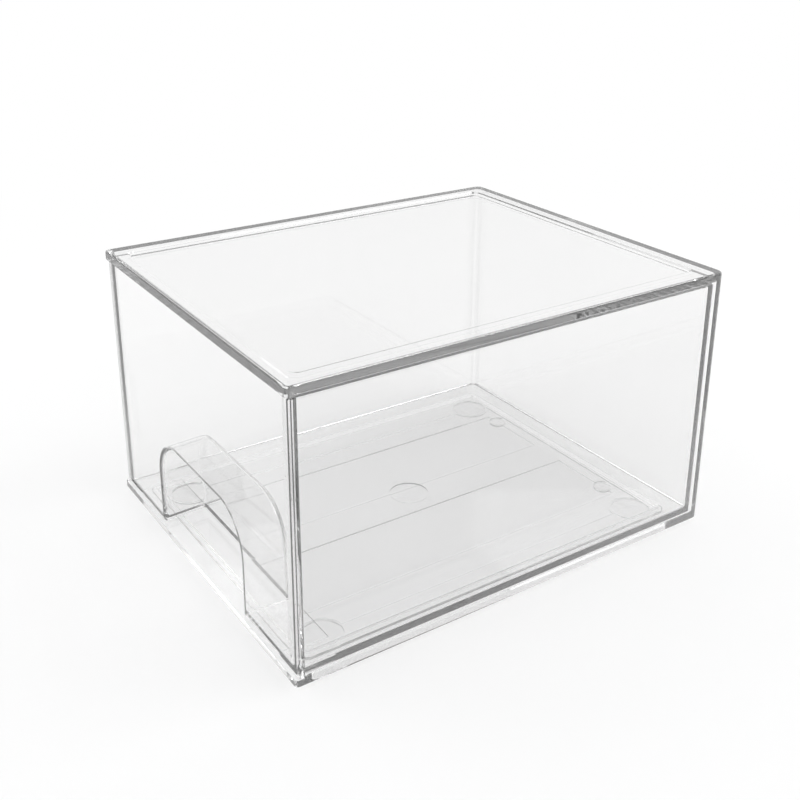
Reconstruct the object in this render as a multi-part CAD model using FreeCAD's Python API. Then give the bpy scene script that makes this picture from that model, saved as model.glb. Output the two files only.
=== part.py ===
import FreeCAD, Part
import math
import os

# Stackable clear drawer box: an outer case open at the front, a pull-out drawer with an arched
# finger recess, and four round anti-slip pads under the case.
# Millimetres. X is the width, Y runs from the front (-Y) to the back, Z is up.
# The origin is on the surface that the pads stand on, at the middle of the outline.

Vector = FreeCAD.Vector

# Overall size of the closed box
width = 155.0
depth = 190.0
height = 110.0

# Case
case_wall = 2.3
case_floor = 2.95
case_roof = 2.2
case_back_corner = 3.5
case_front_corner = 1.6
case_cavity_corner = 2.7
case_edge_round = 1.0
case_base_bevel = 0.4

# Raised rim round the roof, which the plinth of the next box drops into
rim_height = 1.5
rim_side_width = 8.4
rim_front_width = 6.6
rim_back_width = 9.2
rim_corner = 3.0
rim_inner_round = 0.7

# Plinth under the case
plinth_drop = 1.5
plinth_side_clearance = 2.7
plinth_end_clearance = 1.3
plinth_corner = 3.0
plinth_edge_bevel = 0.35

# Dish in the case's floor, inside the plinth
dish_wall = 1.7
dish_floor = 2.0
dish_corner = 1.3

# Shallow relief and two stiffening panels in the plinth's underside
relief_depth = 0.4
relief_side_border = 11.4
relief_end_border = 1.8
relief_corner = 2.0
panel_depth = 0.4
panel_strip = 17.2
panel_side_border = 11.8
panel_back_border = 5.6
panel_front_border = 11.4
panel_corner = 1.0
boss_radius = 3.8
boss_mark_depth = 0.5
boss_side_inset = 6.6

# Anti-slip pads and their seats
pad_radius = 7.75
pad_proud = 0.4
pad_seat_depth = 0.9
pad_seat_clearance = 0.25
pad_seat_wall = 0.8
pad_side_inset = 10.4
pad_front_inset = 12.6
pad_back_inset = 10.0
pad_edge_bevel = 0.35
pad_dimple_radius = 2.6
pad_dimple_depth = 0.3

# Drawer
drawer_wall = 2.2
drawer_floor = 1.5
drawer_back_corner = 2.6
drawer_inner_corner = 2.0
drawer_inner_round = 1.05
drawer_lip_round = 0.6
glide_gap = 0.3
drawer_side_gap = 0.5
drawer_back_gap = 0.7
drawer_top_gap = 1.3
gate_mark_radius = 8.2
gate_mark_depth = 0.4

# Front panel of the drawer, set back a little between the case's floor and roof, where it
# closes over the ends of the side walls
front_thickness = 1.7
front_inset = 1.3
front_side_inset = 0.2
front_top_gap = 0.7
front_close_gap = 0.3
front_edge_round = 0.8

# Arched finger recess, open at the front and at the bottom
recess_half_width = 35.9
recess_height = 38.2
recess_depth = 18.2
recess_front_corner = 16.2
recess_back_corner = 15.8
recess_back_lean = 0.9
recess_back_widening = 1.2
recess_wall = 1.5
recess_lip_round = 1.5
recess_back_round = 2.4
recess_inner_round = 0.8

# Relief under the front of the drawer's floor, beside the finger recess
finger_relief_depth = 0.5
finger_relief_side = 12.0

# Length by which a cutting tool passes the face that it cuts
overrun = 1.0

# Levels and places that follow from the sizes above
half_width = width / 2
half_depth = depth / 2
plinth_z = pad_proud
skirt_z = plinth_z + plinth_drop
floor_z = skirt_z + case_floor
seat_z = height - rim_height
roof_z = seat_z - case_roof

seat_half_x = half_width - rim_side_width
seat_front_y = rim_front_width - half_depth
seat_back_y = half_depth - rim_back_width
plinth_half_x = seat_half_x - plinth_side_clearance
plinth_front_y = seat_front_y + plinth_end_clearance
plinth_back_y = seat_back_y - plinth_end_clearance

cavity_half_x = half_width - case_wall
cavity_back_y = half_depth - case_wall
front_face_y = front_inset - half_depth
front_back_y = front_face_y + front_thickness
wall_end_y = front_back_y + front_close_gap

drawer_z = floor_z + glide_gap
drawer_top_z = roof_z - drawer_top_gap
drawer_half_x = cavity_half_x - drawer_side_gap
drawer_back_y = cavity_back_y - drawer_back_gap
drawer_floor_z = drawer_z + drawer_floor
front_top_z = roof_z - front_top_gap
front_half_x = half_width - front_side_inset
recess_back_y = front_face_y + recess_depth
recess_middle_y = front_face_y + recess_depth / 2
shell_start_y = front_back_y - front_thickness / 2


def rounded_outline(corners, level):
    """A closed wire at one level through corners of (x, y, radius), each rounded by an arc."""
    count = len(corners)
    starts, middles, ends = [], [], []
    for i in range(count):
        x, y, radius = corners[i]
        here = Vector(x, y, level)
        before = Vector(corners[i - 1][0], corners[i - 1][1], level) - here
        after = Vector(corners[(i + 1) % count][0], corners[(i + 1) % count][1], level) - here
        before.normalize()
        after.normalize()
        half_angle = before.getAngle(after) / 2
        bisector = (before + after).normalize()
        starts.append(here + before * (radius / math.tan(half_angle)))
        ends.append(here + after * (radius / math.tan(half_angle)))
        middles.append(here + bisector * (radius / math.sin(half_angle) - radius))
    edges = []
    for i in range(count):
        if corners[i][2] > 0:
            edges.append(Part.Arc(starts[i], middles[i], ends[i]).toShape())
        edges.append(Part.LineSegment(ends[i], starts[(i + 1) % count]).toShape())
    return Part.Wire(edges)


def prism(half_x, front_y, back_y, low_z, high_z, front_radius, back_radius):
    """An upright block with rounded front and back corners, symmetric about X = 0."""
    corners = [
        (-half_x, front_y, front_radius),
        (half_x, front_y, front_radius),
        (half_x, back_y, back_radius),
        (-half_x, back_y, back_radius),
    ]
    face = Part.Face(rounded_outline(corners, low_z))
    return face.extrude(Vector(0, 0, high_z - low_z))


def side_prism(low_x, high_x, front_y, back_y, low_z, high_z, radius):
    """An upright block with four equal rounded corners, anywhere along X."""
    corners = [(low_x, front_y, radius), (high_x, front_y, radius)]
    corners += [(high_x, back_y, radius), (low_x, back_y, radius)]
    face = Part.Face(rounded_outline(corners, low_z))
    return face.extrude(Vector(0, 0, high_z - low_z))


def disc(x, y, low_z, high_z, radius):
    """An upright cylinder."""
    return Part.makeCylinder(radius, high_z - low_z, Vector(x, y, low_z))


def edges_at(shape, level):
    """The edges that lie wholly at one height."""
    found = []
    for edge in shape.Edges:
        box = edge.BoundBox
        if abs(box.ZMin - level) < case_wall / 1000 and abs(box.ZMax - level) < case_wall / 1000:
            found.append(edge)
    return found


def pad_places():
    """The centres of the four pads, with the corner that each one stands in."""
    x = plinth_half_x - pad_side_inset
    low_y = plinth_front_y + pad_front_inset
    high_y = plinth_back_y - pad_back_inset
    return {
        "front_left": (-x, low_y),
        "front_right": (x, low_y),
        "back_left": (-x, high_y),
        "back_right": (x, high_y),
    }


def boss_places():
    """The centres of the two round bosses, on the back edges of the stiffening panels."""
    x = plinth_half_x - relief_side_border - panel_side_border - boss_side_inset
    y = plinth_back_y - relief_end_border - panel_back_border
    return [(side * x, y) for side in (-1, 1)]


def case_outside():
    """The case's outer block, rounded at the back corners and along its top and bottom edges."""
    block = prism(
        half_width, -half_depth, half_depth, skirt_z, height, case_front_corner, case_back_corner
    )
    block = block.makeFillet(case_edge_round, edges_at(block, height))
    return block.makeChamfer(case_base_bevel, edges_at(block, skirt_z))


def case_cavity():
    """The space for the drawer, open at the front, with the notch that the front panel fills."""
    hollow = prism(
        cavity_half_x,
        -half_depth - overrun,
        cavity_back_y,
        floor_z,
        roof_z,
        0,
        case_cavity_corner,
    )
    notch = prism(
        half_width + overrun, -half_depth - overrun, wall_end_y, floor_z, roof_z, 0, 0
    )
    return hollow.fuse(notch)


def rim_recess():
    """The recess in the roof that a raised rim surrounds, flared a little at its mouth."""
    recess = prism(
        seat_half_x, seat_front_y, seat_back_y, seat_z, height + overrun, rim_corner, rim_corner
    )
    mouth = [rim_outline(0, height - rim_inner_round)]
    mouth.append(rim_outline(2 * rim_inner_round, height + rim_inner_round))
    return recess.fuse(Part.makeLoft(mouth, True, True))


def rim_outline(grow, level):
    """The rim's inner outline at one level, grown outward for the flare of its mouth."""
    corners = []
    for side_x, y in ((-1, seat_front_y - grow), (1, seat_front_y - grow)):
        corners.append((side_x * (seat_half_x + grow), y, rim_corner + grow))
    for side_x, y in ((1, seat_back_y + grow), (-1, seat_back_y + grow)):
        corners.append((side_x * (seat_half_x + grow), y, rim_corner + grow))
    return rounded_outline(corners, level)


def plinth():
    """The plinth with its underside relief, two panels, round bosses and pad seats."""
    block = prism(
        plinth_half_x,
        plinth_front_y,
        plinth_back_y,
        plinth_z,
        skirt_z + case_floor / 2,
        plinth_corner,
        plinth_corner,
    )
    block = block.makeChamfer(plinth_edge_bevel, edges_at(block, plinth_z))
    relief_x = plinth_half_x - relief_side_border
    relief_front = plinth_front_y + relief_end_border
    relief_back = plinth_back_y - relief_end_border
    relief_top = plinth_z + relief_depth
    hollow = prism(
        relief_x,
        relief_front,
        relief_back,
        plinth_z - overrun,
        relief_top,
        relief_corner,
        relief_corner,
    )
    panel_out = relief_x - panel_side_border
    panel_back = relief_back - panel_back_border
    panel_front = relief_front + panel_front_border
    for side in (-1, 1):
        low_x, high_x = sorted((side * panel_strip / 2, side * panel_out))
        hollow = hollow.fuse(
            side_prism(
                low_x,
                high_x,
                panel_front,
                panel_back,
                plinth_z - overrun,
                relief_top + panel_depth,
                panel_corner,
            )
        )
    for x, y in boss_places():
        hollow = hollow.cut(
            disc(x, y, plinth_z - 2 * overrun, relief_top + 2 * overrun, boss_radius)
        )
    seat_radius = pad_radius + pad_seat_clearance
    for x, y in pad_places().values():
        boss = disc(x, y, plinth_z - 2 * overrun, relief_top + overrun, seat_radius + pad_seat_wall)
        hollow = hollow.cut(boss)
    block = block.cut(hollow)
    for x, y in pad_places().values():
        seat = disc(x, y, plinth_z - overrun, plinth_z + pad_seat_depth, seat_radius)
        block = block.cut(seat)
    return block


def dish():
    """The space that sinks the case's floor inside the plinth, with a mark over each boss."""
    low_z = plinth_z + dish_floor
    hollow = prism(
        plinth_half_x - dish_wall,
        plinth_front_y + dish_wall,
        plinth_back_y - dish_wall,
        low_z,
        floor_z + overrun,
        dish_corner,
        dish_corner,
    )
    for x, y in boss_places():
        hollow = hollow.fuse(disc(x, y, low_z - boss_mark_depth, floor_z, boss_radius))
    return hollow


def case():
    """The case: one moulding with a floor, two sides, a back and a rimmed roof."""
    body = case_outside().cut(case_cavity())
    body = body.cut(rim_recess())
    base = plinth()
    core = prism(
        plinth_half_x,
        plinth_front_y,
        plinth_back_y,
        skirt_z - overrun,
        skirt_z + case_floor / 2,
        plinth_corner,
        plinth_corner,
    )
    return body.cut(core).fuse(base).cut(dish()).removeSplitter()


def arch_outline(half_x, top_z, radius, y, low_z, slope):
    """A closed arch outline that leans forward by a slope: two legs, round shoulders, flat top."""

    def place(x, z):
        return Vector(x, y - slope * (z - drawer_z), z)

    turn = math.radians(45)
    left, right = radius - half_x, half_x - radius
    spring_z = top_z - radius
    rise, run = radius * math.sin(turn), radius * math.cos(turn)
    foot_left, foot_right = place(-half_x, low_z), place(half_x, low_z)
    leg_left, leg_right = place(-half_x, spring_z), place(half_x, spring_z)
    crown_left, crown_right = place(left, top_z), place(right, top_z)
    return Part.Wire(
        [
            Part.LineSegment(foot_left, leg_left).toShape(),
            Part.Arc(leg_left, place(left - run, spring_z + rise), crown_left).toShape(),
            Part.LineSegment(crown_left, crown_right).toShape(),
            Part.Arc(crown_right, place(right + run, spring_z + rise), leg_right).toShape(),
            Part.LineSegment(leg_right, foot_right).toShape(),
            Part.LineSegment(foot_right, foot_left).toShape(),
        ]
    )


def arch_loft(grow, start_y, back_y, low_z):
    """The arch from front to leaning back, grown outward by a wall when one is wanted."""
    half_x, top_z = recess_half_width + grow, drawer_z + recess_height + grow
    slope = recess_back_lean / recess_height
    front_radius, back_radius = recess_front_corner + grow, recess_back_corner + grow
    front = arch_outline(half_x, top_z, front_radius, start_y, low_z, 0)
    back_half_x = half_x + recess_back_widening
    back = arch_outline(back_half_x, top_z, back_radius, back_y, low_z, slope)
    return Part.makeLoft([front, back], True, True)


def drawer_tray():
    """The tray: floor, two sides and a back, with rounded inner corners and lips."""
    outside = prism(
        drawer_half_x,
        front_back_y - front_thickness / 2,
        drawer_back_y,
        drawer_z,
        drawer_top_z,
        0,
        drawer_back_corner,
    )
    inside = prism(
        drawer_half_x - drawer_wall,
        front_back_y,
        drawer_back_y - drawer_wall,
        drawer_floor_z,
        drawer_top_z + overrun,
        drawer_inner_corner,
        drawer_inner_corner,
    )
    inside = inside.makeFillet(drawer_inner_round, edges_at(inside, drawer_floor_z))
    tray = outside.cut(inside)
    lips = [edge for edge in edges_at(tray, drawer_top_z) if edge.BoundBox.YMax > wall_end_y]
    return tray.makeFillet(drawer_lip_round, lips)


def front_panel():
    """The flat front with all its outer edges eased."""
    size_x, size_z = 2 * front_half_x, front_top_z - drawer_z
    corner = Vector(-front_half_x, front_face_y, drawer_z)
    block = Part.makeBox(size_x, front_thickness, size_z, corner)
    outer = []
    for edge in block.Edges:
        if edge.BoundBox.YMax < front_back_y - front_thickness / 2:
            outer.append(edge)
    return block.makeFillet(front_edge_round, outer)


def inside_frame(edge, half_x, low_z, high_z):
    """Whether an edge lies within a frame round the arch, and so belongs to the arch itself."""
    box = edge.BoundBox
    return box.XMin > -half_x and box.XMax < half_x and box.ZMax > low_z and box.ZMax < high_z


def finger_shell():
    """The closed shell that the finger recess is hollowed from, rounded along its back."""
    shell = arch_loft(recess_wall, shell_start_y, recess_back_y + recess_wall, drawer_z)
    rear = []
    for edge in shell.Edges:
        box = edge.BoundBox
        if box.YMin > recess_middle_y and box.ZMax > drawer_floor_z:
            rear.append(edge)
    return shell.makeFillet(recess_back_round, rear)


def finger_hollow():
    """The space inside the finger recess, its mouth flared and rounded into the front's face."""
    low_z = drawer_z - recess_lip_round
    inner = arch_loft(0, front_face_y - overrun, recess_back_y, low_z)
    rear = []
    for edge in inner.Edges:
        box = edge.BoundBox
        if box.YMin > recess_middle_y and box.ZMax > drawer_z:
            rear.append(edge)
    inner = inner.makeFillet(recess_inner_round, rear)
    half_x = recess_half_width + recess_back_widening + 2 * recess_lip_round
    high_z = drawer_z + recess_height + 2 * recess_lip_round
    corner = Vector(-half_x, front_face_y, low_z)
    block = Part.makeBox(2 * half_x, recess_depth + overrun, high_z - low_z, corner)
    tunnel = block.cut(inner)
    mouth = []
    for edge in tunnel.Edges:
        in_frame = inside_frame(edge, half_x, drawer_z, high_z - recess_lip_round / 2)
        if edge.BoundBox.YMax < shell_start_y and in_frame:
            mouth.append(edge)
    return block.cut(tunnel.makeFillet(recess_lip_round, mouth))


def drawer():
    """The drawer: tray, front panel and finger recess in one moulding."""
    body = drawer_tray().fuse(front_panel()).fuse(finger_shell())
    body = body.cut(finger_hollow())
    relief = prism(
        drawer_half_x - finger_relief_side,
        front_back_y,
        recess_back_y,
        drawer_z - overrun,
        drawer_z + finger_relief_depth,
        0,
        0,
    )
    keep = arch_loft(recess_wall, shell_start_y, recess_back_y + recess_wall, drawer_z - overrun)
    body = body.cut(relief.cut(keep))
    mark_z = drawer_floor_z - gate_mark_depth
    body = body.cut(disc(0, 0, mark_z, drawer_floor_z + overrun, gate_mark_radius))
    return body.removeSplitter()


def pad(x, y):
    """A round pad with a bevelled lower edge and a shallow dimple, turned about its axis."""
    top_z = plinth_z + pad_seat_depth
    corners = [
        (0, pad_dimple_depth),
        (0, top_z),
        (pad_radius, top_z),
        (pad_radius, pad_edge_bevel),
        (pad_radius - pad_edge_bevel, 0),
        (pad_dimple_radius, 0),
        (pad_dimple_radius - pad_dimple_depth, pad_dimple_depth),
        (0, pad_dimple_depth),
    ]
    face = Part.Face(Part.makePolygon([Vector(radius, 0, level) for radius, level in corners]))
    turned = face.revolve(Vector(0, 0, 0), Vector(0, 0, 1), 360)
    turned.translate(Vector(x, y, 0))
    return turned


def write(name, shape):
    """Writes one solid to its own file and prints what it measures."""
    solid = shape.Solids[0]
    box = solid.BoundBox
    print(name, len(shape.Solids), "solid", solid.isValid(), round(solid.Volume))
    print("  ", [round(v, 2) for v in (box.XMin, box.YMin, box.ZMin, box.XMax, box.YMax, box.ZMax)])
    solid.exportStep(os.path.join("parts", name + ".step"))


os.makedirs("parts", exist_ok=True)
write("case", case())
write("drawer", drawer())
for corner_name, (pad_x, pad_y) in pad_places().items():
    write("pad_" + corner_name, pad(pad_x, pad_y))
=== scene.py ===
import bpy
from mathutils import Matrix, Vector

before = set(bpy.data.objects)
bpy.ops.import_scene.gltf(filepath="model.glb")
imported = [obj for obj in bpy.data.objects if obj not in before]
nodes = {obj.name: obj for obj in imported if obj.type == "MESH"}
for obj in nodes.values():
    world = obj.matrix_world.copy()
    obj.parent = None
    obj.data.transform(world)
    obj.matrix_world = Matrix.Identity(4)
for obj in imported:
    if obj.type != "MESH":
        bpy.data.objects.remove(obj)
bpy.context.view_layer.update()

scene = bpy.context.scene

# Camera, solved from the photograph. Its shift is a share of the 800 px square picture
CAMERA_PLACE = Vector((0.332974, -0.225586, 0.244869))
CAMERA_RIGHT = Vector((0.56065, 0.82802, 0.00775))
CAMERA_UP = Vector((-0.291, 0.18826, 0.93802))
CAMERA_BACK = Vector((0.77523, -0.52816, 0.3465))
CAMERA_SENSOR = 36.0
CAMERA_LENS = 48.5788
CAMERA_SHIFT = (-0.01263, -0.13364)
CAMERA_CLIP = (0.01, 100.0)

# Clear moulded plastic. Light that has met many faces inside the walls gets hazy and dark
PLASTIC_TINT = 0.996
# Painted shade on the edges: where the surface turns away from the view its colour darkens to
# near black, which draws dark lines along the rounded edges
PLASTIC_PAINTED_EDGE_SHADE = 0.05
PLASTIC_EDGE_SHADE_BLEND = 0.5
PLASTIC_EDGE_SHADE_FROM, PLASTIC_EDGE_SHADE_TO = 0.74, 0.92
PLASTIC_IOR = 1.49
PLASTIC_GREY = (0.80, 0.80, 0.80, 1.0)
PLASTIC_DENSITY = 15.0
PLASTIC_ROUGH = 0.005
PLASTIC_WEAR = 0.05
PLASTIC_WEAR_FROM, PLASTIC_WEAR_TO = 0.55, 0.8
PLASTIC_WEAR_SCALE, PLASTIC_WEAR_DETAIL = 900.0, 2.0
PLASTIC_WAVE_SCALE, PLASTIC_WAVE_DETAIL = 22.0, 1.0
PLASTIC_WAVE_STRENGTH, PLASTIC_WAVE_DEPTH = 0.05, 0.001
PLASTIC_HAZE = 0.12
PLASTIC_HAZE_FROM, PLASTIC_HAZE_TO = 12.0, 26.0
PLASTIC_LOSS = 0.35
PLASTIC_LOSS_FROM, PLASTIC_LOSS_TO = 10.0, 16.0
PLASTIC_SHADOW = 0.9

# Soft clear pads
PAD_GREY = 0.9
PAD_ROUGH = 0.35
PAD_GRAIN_SCALE, PAD_GRAIN_DETAIL = 1500.0, 2.0
PAD_GRAIN_STRENGTH, PAD_GRAIN_DEPTH = 0.1, 0.0005
PAD_RIM_BLEND = 0.35
PAD_COVER_FLAT, PAD_COVER_RIM = 0.03, 0.2
PAD_CLEAR = 0.99

# Floor: white far away, and nearer the box a plain diffuse white that keeps its shadow
FLOOR_REACH = 30.0
FLOOR_Z = -0.0002
FLOOR_GREY = 0.86
FLOOR_GLOW = 0.47
FLOOR_FADE_FROM, FLOOR_FADE_TO = 0.15, 0.6

# World: what each kind of ray finds. Rays that the plastic bends upwards meet a dark ceiling,
# and a dark room behind the photograph's camera, which draw the dark lines along the edges
SKY_LIGHT = 0.82
SKY_BOUNCED = 0.88
SKY_LOW, SKY_HIGH = 1.0, 0.04
SKY_RISE_FROM, SKY_RISE_TO = 0.35, 0.85
HORIZON_FROM, HORIZON_TO = 0.03, 0.15
ROOM_DIM = 0.02
ROOM_FROM, ROOM_TO = -0.4, 0.3

# Lamps: place, size and watts of each
KEY_PLACE, KEY_SIZE, KEY_POWER = (0.5, 0.9, 1.3), 0.8, 9.0
FILL_PLACE, FILL_SIZE, FILL_POWER = (-0.9, -0.6, 1.2), 0.9, 5.0

# Bounces that clear walls in front of clear walls need
MAX_BOUNCES = 64
TRANSPARENT_BOUNCES = 40


def grey(value):
    """A colour with three equal parts."""
    return (value, value, value, 1.0)


def new_material(name):
    """An empty node material, its tree and its output."""
    material = bpy.data.materials.new(name)
    material.use_nodes = True
    tree = material.node_tree
    tree.nodes.clear()
    output = tree.nodes.new("ShaderNodeOutputMaterial")
    return material, tree, output


def node(tree, kind, inputs=(), **settings):
    """Adds a node, sets its properties, and links or sets its inputs by name or index."""
    made = tree.nodes.new(kind)
    for key, value in settings.items():
        setattr(made, key, value)
    for key, value in dict(inputs).items():
        socket = made.inputs[key]
        if isinstance(value, bpy.types.NodeSocket):
            tree.links.new(value, socket)
        else:
            socket.default_value = value
    return made


def spread(tree, value, low, high, start, end, kind="LINEAR"):
    """Maps a value that runs from low to high onto one that runs from start to end."""
    inputs = {"Value": value, "From Min": low, "From Max": high, "To Min": start, "To Max": end}
    made = node(tree, "ShaderNodeMapRange", inputs, interpolation_type=kind)
    return made.outputs["Result"]


def mix(tree, factor, first, second):
    """Mixes two shaders."""
    inputs = {0: factor, 1: first, 2: second}
    return node(tree, "ShaderNodeMixShader", inputs).outputs[0]


def calculate(tree, operation, first, second, clamp=False):
    """The result of one sum or product."""
    inputs = {0: first, 1: second}
    made = node(tree, "ShaderNodeMath", inputs, operation=operation, use_clamp=clamp)
    return made.outputs[0]


def noise(tree, scale, detail):
    """A noise that lies fixed in the part's own place."""
    place = node(tree, "ShaderNodeTexCoord").outputs["Object"]
    inputs = {"Vector": place, "Scale": scale, "Detail": detail}
    return node(tree, "ShaderNodeTexNoise", inputs).outputs["Fac"]


def bumped(tree, strength, distance, height):
    """A normal bent by a height."""
    inputs = {"Strength": strength, "Distance": distance, "Height": height}
    return node(tree, "ShaderNodeBump", inputs).outputs["Normal"]


def clear_plastic(name):
    """Clear moulded plastic: refraction, absorption, painted shade on the edges, waviness and
    micro-wear.
    """
    material, tree, output = new_material(name)
    wave = noise(tree, PLASTIC_WAVE_SCALE, PLASTIC_WAVE_DETAIL)
    fine = noise(tree, PLASTIC_WEAR_SCALE, PLASTIC_WEAR_DETAIL)
    normal = bumped(tree, PLASTIC_WAVE_STRENGTH, PLASTIC_WAVE_DEPTH, wave)
    worn = PLASTIC_ROUGH + PLASTIC_WEAR
    wear = spread(tree, fine, PLASTIC_WEAR_FROM, PLASTIC_WEAR_TO, PLASTIC_ROUGH, worn)
    path = node(tree, "ShaderNodeLightPath").outputs
    haze = spread(
        tree, path["Ray Depth"], PLASTIC_HAZE_FROM, PLASTIC_HAZE_TO, 0.0, PLASTIC_HAZE
    )
    # Painted shade: the colour goes from the plastic's own pale tint face-on to near black
    # edge-on, drawing dark lines along the edges
    slant = node(tree, "ShaderNodeLayerWeight", {"Blend": PLASTIC_EDGE_SHADE_BLEND})
    facing = slant.outputs["Facing"]
    tint_and_edge_shade = spread(
        tree,
        facing,
        PLASTIC_EDGE_SHADE_FROM,
        PLASTIC_EDGE_SHADE_TO,
        PLASTIC_TINT,
        PLASTIC_PAINTED_EDGE_SHADE,
        "SMOOTHSTEP",
    )
    kept = spread(
        tree, path["Ray Depth"], PLASTIC_LOSS_FROM, PLASTIC_LOSS_TO, 1.0, PLASTIC_LOSS
    )
    inputs = {
        "Base Color": calculate(tree, "MULTIPLY", tint_and_edge_shade, kept),
        "Roughness": calculate(tree, "ADD", wear, haze),
        "IOR": PLASTIC_IOR,
        "Transmission Weight": 1.0,
        "Normal": normal,
    }
    glass = node(tree, "ShaderNodeBsdfPrincipled", inputs).outputs[0]
    veil = node(tree, "ShaderNodeBsdfTransparent", {"Color": grey(PLASTIC_SHADOW)}).outputs[0]
    surface = mix(tree, path["Is Shadow Ray"], glass, veil)
    tree.links.new(surface, output.inputs["Surface"])
    inputs = {"Color": PLASTIC_GREY, "Density": PLASTIC_DENSITY}
    volume = node(tree, "ShaderNodeVolumeAbsorption", inputs).outputs[0]
    tree.links.new(volume, output.inputs["Volume"])
    return material


def soft_pad(name):
    """Soft clear pad: nearly invisible against the moulding, with a faint pale rim and grain."""
    material, tree, output = new_material(name)
    grain = noise(tree, PAD_GRAIN_SCALE, PAD_GRAIN_DETAIL)
    normal = bumped(tree, PAD_GRAIN_STRENGTH, PAD_GRAIN_DEPTH, grain)
    inputs = {"Base Color": grey(PAD_GREY), "Roughness": PAD_ROUGH, "Normal": normal}
    gel = node(tree, "ShaderNodeBsdfPrincipled", inputs).outputs[0]
    rim = node(tree, "ShaderNodeLayerWeight", {"Blend": PAD_RIM_BLEND}).outputs["Facing"]
    cover = spread(tree, rim, 0.0, 1.0, PAD_COVER_FLAT, PAD_COVER_RIM)
    clear = node(tree, "ShaderNodeBsdfTransparent", {"Color": grey(PAD_CLEAR)}).outputs[0]
    tree.links.new(mix(tree, cover, clear, gel), output.inputs["Surface"])
    return material


def dress(name, material):
    """Gives a CAD node its material."""
    if not nodes[name].material_slots:
        nodes[name].data.materials.append(material)
    for slot in nodes[name].material_slots:
        slot.material = material


def floor_white():
    """Pale floor. To camera, mirrored and bent rays it fades to white away from the box."""
    material, tree, output = new_material("floor_white")
    path = node(tree, "ShaderNodeLightPath").outputs
    seen = calculate(tree, "ADD", path["Is Camera Ray"], path["Is Glossy Ray"])
    seen = calculate(tree, "ADD", seen, path["Is Transmission Ray"], clamp=True)
    diffuse = node(tree, "ShaderNodeBsdfDiffuse", {"Color": grey(FLOOR_GREY)}).outputs[0]
    glow = node(tree, "ShaderNodeEmission", {"Color": grey(1.0), "Strength": 1.0}).outputs[0]
    place = node(tree, "ShaderNodeTexCoord").outputs["Object"]
    away = node(tree, "ShaderNodeVectorMath", {0: place}, operation="LENGTH").outputs["Value"]
    fade = spread(tree, away, FLOOR_FADE_FROM, FLOOR_FADE_TO, FLOOR_GLOW, 1.0, "SMOOTHSTEP")
    surface = mix(tree, seen, diffuse, mix(tree, fade, diffuse, glow))
    tree.links.new(surface, output.inputs["Surface"])
    return material


def background(tree, strength):
    """A white background of one strength, a number or a socket."""
    inputs = {"Color": grey(1.0), "Strength": strength}
    return node(tree, "ShaderNodeBackground", inputs).outputs[0]


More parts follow.
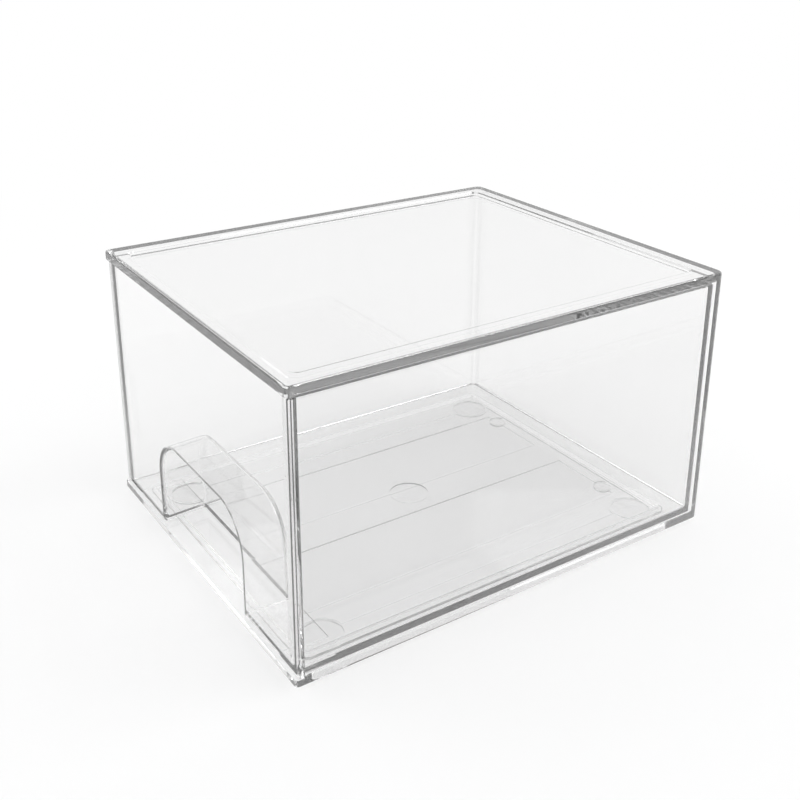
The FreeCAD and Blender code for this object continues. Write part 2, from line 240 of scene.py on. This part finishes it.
def studio_world():
    """Plain white studio with a dark ceiling for the rays that the plastic bends upwards."""
    world = bpy.data.worlds.new("studio")
    world.use_nodes = True
    tree = world.node_tree
    tree.nodes.clear()
    output = tree.nodes.new("ShaderNodeOutputWorld")
    path = node(tree, "ShaderNodeLightPath").outputs
    ray = node(tree, "ShaderNodeTexCoord").outputs["Generated"]
    height = node(tree, "ShaderNodeSeparateXYZ", {0: ray}).outputs["Z"]
    rise = spread(tree, height, SKY_RISE_FROM, SKY_RISE_TO, SKY_LOW, SKY_HIGH, "SMOOTHSTEP")
    inputs = {0: ray, 1: CAMERA_BACK}
    behind = node(tree, "ShaderNodeVectorMath", inputs, operation="DOT_PRODUCT").outputs["Value"]
    dim = spread(tree, behind, ROOM_FROM, ROOM_TO, 1.0, ROOM_DIM, "SMOOTHSTEP")
    overhead = calculate(tree, "MULTIPLY", rise, dim)
    level = spread(tree, height, HORIZON_FROM, HORIZON_TO, 1.0, overhead, "SMOOTHSTEP")
    lit, bent = background(tree, SKY_LIGHT), background(tree, level)
    bounced, white = background(tree, SKY_BOUNCED), background(tree, 1.0)
    surface = mix(tree, path["Is Transmission Ray"], lit, bent)
    surface = mix(tree, path["Is Glossy Ray"], surface, bounced)
    surface = mix(tree, path["Is Camera Ray"], surface, white)
    tree.links.new(surface, output.inputs["Surface"])
    return world


def area_lamp(name, place, size, power):
    """A soft square lamp aimed at the middle of the floor."""
    data = bpy.data.lights.new(name, "AREA")
    data.shape = "RECTANGLE"
    data.size, data.size_y = size, size
    data.energy = power
    lamp = bpy.data.objects.new(name, data)
    scene.collection.objects.link(lamp)
    lamp.location = place
    lamp.rotation_mode = "QUATERNION"
    lamp.rotation_quaternion = (-Vector(place)).to_track_quat("-Z", "Y")


# Materials
dress("case", clear_plastic("case_plastic"))
dress("drawer", clear_plastic("drawer_plastic"))
pad_plastic = soft_pad("pad_plastic")
for node_name in nodes:
    if node_name.startswith("pad_"):
        dress(node_name, pad_plastic)

# Floor
corners = [(-1, -1), (1, -1), (1, 1), (-1, 1)]
mesh = bpy.data.meshes.new("floor")
mesh.from_pydata([(x * FLOOR_REACH, y * FLOOR_REACH, 0) for x, y in corners], [], [(0, 1, 2, 3)])
mesh.materials.append(floor_white())
floor = bpy.data.objects.new("floor", mesh)
scene.collection.objects.link(floor)
floor.location.z = FLOOR_Z

# World and lamps
scene.world = studio_world()
area_lamp("key", KEY_PLACE, KEY_SIZE, KEY_POWER)
area_lamp("fill", FILL_PLACE, FILL_SIZE, FILL_POWER)

# Camera
data = bpy.data.cameras.new("camera")
data.sensor_width = CAMERA_SENSOR
data.lens = CAMERA_LENS
data.shift_x, data.shift_y = CAMERA_SHIFT
data.clip_start, data.clip_end = CAMERA_CLIP
camera = bpy.data.objects.new("camera", data)
scene.collection.objects.link(camera)
turn = Matrix((CAMERA_RIGHT, CAMERA_UP, CAMERA_BACK)).transposed()
camera.rotation_mode = "QUATERNION"
camera.rotation_quaternion = turn.to_quaternion().normalized()
camera.location = CAMERA_PLACE
scene.camera = camera

scene.view_settings.view_transform = "Standard"
scene.cycles.max_bounces = MAX_BOUNCES
scene.cycles.transmission_bounces = MAX_BOUNCES
scene.cycles.glossy_bounces = MAX_BOUNCES
scene.cycles.transparent_max_bounces = TRANSPARENT_BOUNCES
